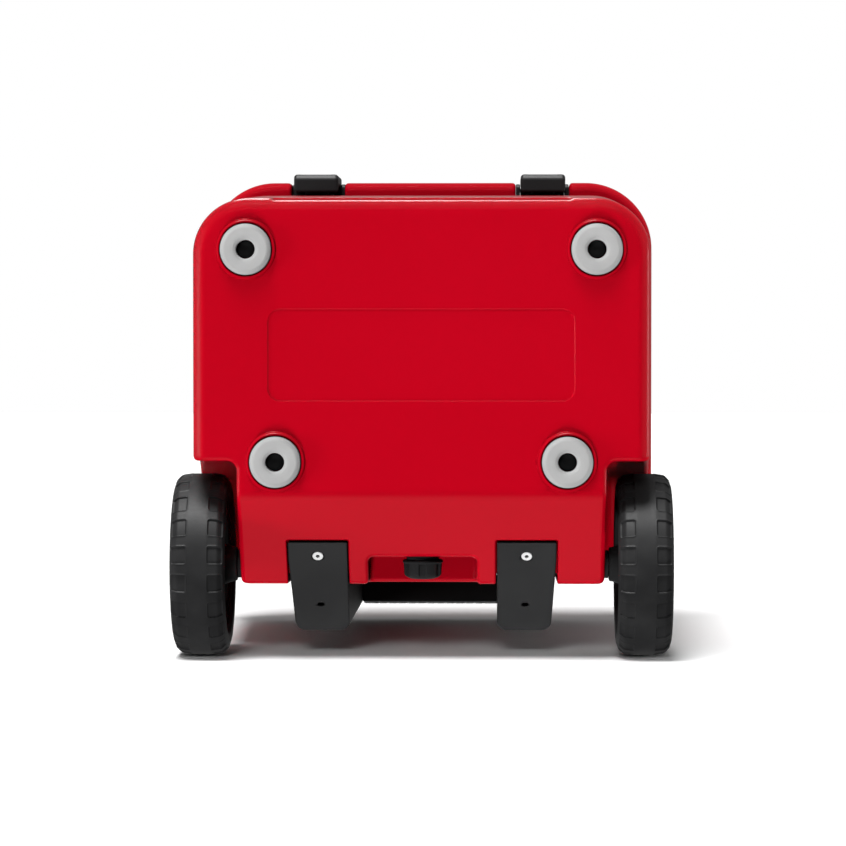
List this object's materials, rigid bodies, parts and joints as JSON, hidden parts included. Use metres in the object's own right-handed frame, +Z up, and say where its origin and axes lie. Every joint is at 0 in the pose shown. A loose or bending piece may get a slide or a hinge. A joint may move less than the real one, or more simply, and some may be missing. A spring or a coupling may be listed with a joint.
{
  "type": "wheeled cooler",
  "caption": "Insulated hard cooler with a hinged latched lid, rear wheels in arched wells and a telescoping pull handle.",
  "frame": {"origin": "on the floor, under the middle of the cooler's overall box when it stands on its four feet with the handle down", "axes": "+Z up, -Y towards the latched front, +Y towards the wheels and handle, +X to the right of someone facing the front"},
  "size_m": [0.462, 0.461, 0.505],
  "materials": {
    "red_shell": "satin",
    "foam": "matte",
    "black_plastic": "satin",
    "tyre_rubber": "matte",
    "grip_rubber": "matte",
    "foot_rubber": "matte",
    "seal_rubber": "matte",
    "bearing_plastic": "matte",
    "steel": "satin",
    "aluminium_tube": "satin"
  },
  "bodies": {
    "tub": {"tub_shell": "red_shell", "tub_insulation": "foam", "tub_fill_plug": "red_shell", "drain_fitting": "black_plastic", "foot_front_left": "foot_rubber", "foot_front_right": "foot_rubber", "foot_rear_left": "foot_rubber", "foot_rear_right": "foot_rubber", "foot_screw_front_left": "black_plastic", "foot_screw_front_right": "black_plastic", "foot_screw_rear_left": "black_plastic", "foot_screw_rear_right": "black_plastic", "column_left": "black_plastic", "column_screw_left": "steel", "column_right": "black_plastic", "column_screw_right": "steel", "column_bridge": "black_plastic", "axle_left": "steel", "axle_spacer_left": "black_plastic", "hinge_bracket_left": "black_plastic", "latch_keeper_left": "black_plastic", "axle_right": "steel", "axle_spacer_right": "black_plastic", "hinge_bracket_right": "black_plastic", "latch_keeper_right": "black_plastic"},
    "lid": {"lid_shell": "red_shell", "lid_insulation": "foam", "lid_fill_plug": "red_shell", "lid_gasket": "seal_rubber", "hinge_pin_left": "steel", "latch_base_left": "black_plastic", "latch_pin_left": "steel", "hinge_pin_right": "steel", "latch_base_right": "black_plastic", "latch_pin_right": "steel"},
    "left_latch": {"latch_left": "black_plastic"},
    "right_latch": {"latch_right": "black_plastic"},
    "left_wheel": {"tyre_left": "tyre_rubber", "wheel_rim_left": "black_plastic", "wheel_spider_left": "black_plastic", "wheel_bearing_left": "bearing_plastic", "hub_cap_left": "black_plastic"},
    "right_wheel": {"tyre_right": "tyre_rubber", "wheel_rim_right": "black_plastic", "wheel_spider_right": "black_plastic", "wheel_bearing_right": "bearing_plastic", "hub_cap_right": "black_plastic"},
    "lower_tubes": {"outer_tube_left": "aluminium_tube", "tube_collar_left": "black_plastic", "outer_tube_right": "aluminium_tube", "tube_collar_right": "black_plastic"},
    "upper_handle": {"inner_tube_left": "aluminium_tube", "inner_tube_right": "aluminium_tube", "handle_grip": "black_plastic", "grip_cover": "grip_rubber", "button_spring": "steel"},
    "release": {"release_button": "black_plastic", "release_yoke": "steel"},
    "drain_seal": {"drain_gasket": "seal_rubber"},
    "drain_cap": {"drain_plug": "black_plastic"}
  },
  "joints": [
    {"name": "lid_hinge", "type": "hinge", "parent": "tub", "child": "lid", "pos_m": [0, 0.165, 0.485], "axis": [-1, 0, 0], "range_deg": [0, 90]},
    {"name": "latch_left_hinge", "type": "hinge", "parent": "lid", "child": "left_latch", "pos_m": [-0.1155, -0.217, 0.478], "axis": [-1, 0, 0], "range_deg": [0, 100]},
    {"name": "latch_right_hinge", "type": "hinge", "parent": "lid", "child": "right_latch", "pos_m": [0.1155, -0.217, 0.478], "axis": [-1, 0, 0], "range_deg": [0, 100]},
    {"name": "wheel_left_spin", "type": "hinge", "parent": "tub", "child": "left_wheel", "pos_m": [-0.205, 0.1455, 0.088], "axis": [1, 0, 0], "continuous": true},
    {"name": "wheel_right_spin", "type": "hinge", "parent": "tub", "child": "right_wheel", "pos_m": [0.205, 0.1455, 0.088], "axis": [1, 0, 0], "continuous": true},
    {"name": "handle_lower_slide", "type": "slide", "parent": "tub", "child": "lower_tubes", "axis": [0, 0.0262, 0.9997], "range_m": [0, 0.27]},
    {"name": "handle_upper_slide", "type": "slide", "parent": "lower_tubes", "child": "upper_handle", "axis": [0, 0.0262, 0.9997], "range_m": [0, 0.27]},
    {"name": "button_press", "type": "slide", "parent": "upper_handle", "child": "release", "axis": [0, 0, -1], "range_m": [0, 0.003], "stiffness_N_per_m": 2000, "springref_m": -0.002, "deforming": ["button_spring"]},
    {"name": "drain_feed", "type": "slide", "parent": "tub", "child": "drain_seal", "axis": [0, 1, 0], "range_m": [0, 0.016]},
    {"name": "drain_turn", "type": "hinge", "parent": "drain_seal", "child": "drain_cap", "pos_m": [0, 0.15, 0.08], "axis": [0, 1, 0], "range_deg": [0, 1441]}
  ],
  "couplings": [
    {"joint": "drain_turn", "follows": "drain_feed", "rad_per_m": 1570.8}
  ]
}
